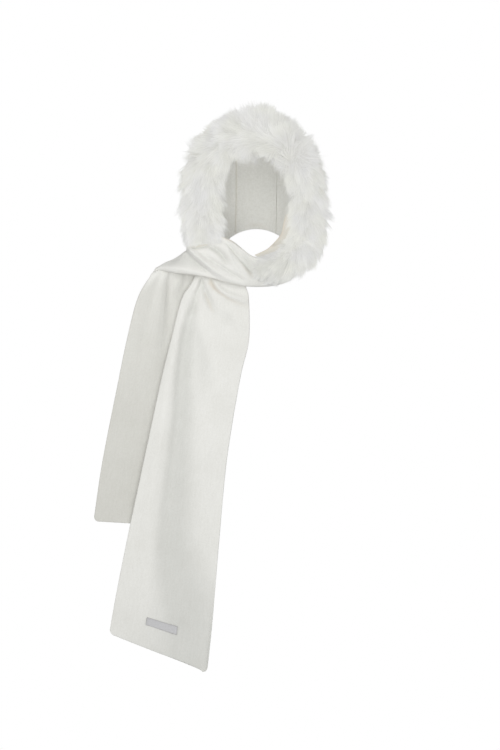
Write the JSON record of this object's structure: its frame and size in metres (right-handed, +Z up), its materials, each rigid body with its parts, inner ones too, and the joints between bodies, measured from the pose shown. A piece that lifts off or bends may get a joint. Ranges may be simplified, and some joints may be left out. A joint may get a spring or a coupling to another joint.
{
  "type": "hooded scarf",
  "caption": "Hood with a deep fur trim round the face and two long flat scarf tails, tied once under the chin.",
  "frame": {"origin": "inside the top of the crown, where the hood rests on the head", "axes": "+Z up, the face opening looks to -Y, +X on the right of a viewer who faces the opening"},
  "size_m": [0.4787, 0.2509, 1.1416],
  "materials": {
    "fleece": "soft brushed off-white fleece",
    "fur": "long white faux fur",
    "label": "plain grey-white woven tape"
  },
  "bodies": {
    "root": {"hood_side_left": "fleece", "hood_centre_panel": "fleece", "hood_side_right": "fleece", "scarf_left": "fleece", "scarf_right": "fleece", "woven_label": "label", "fur_trim": "fur"}
  },
  "joints": []
}
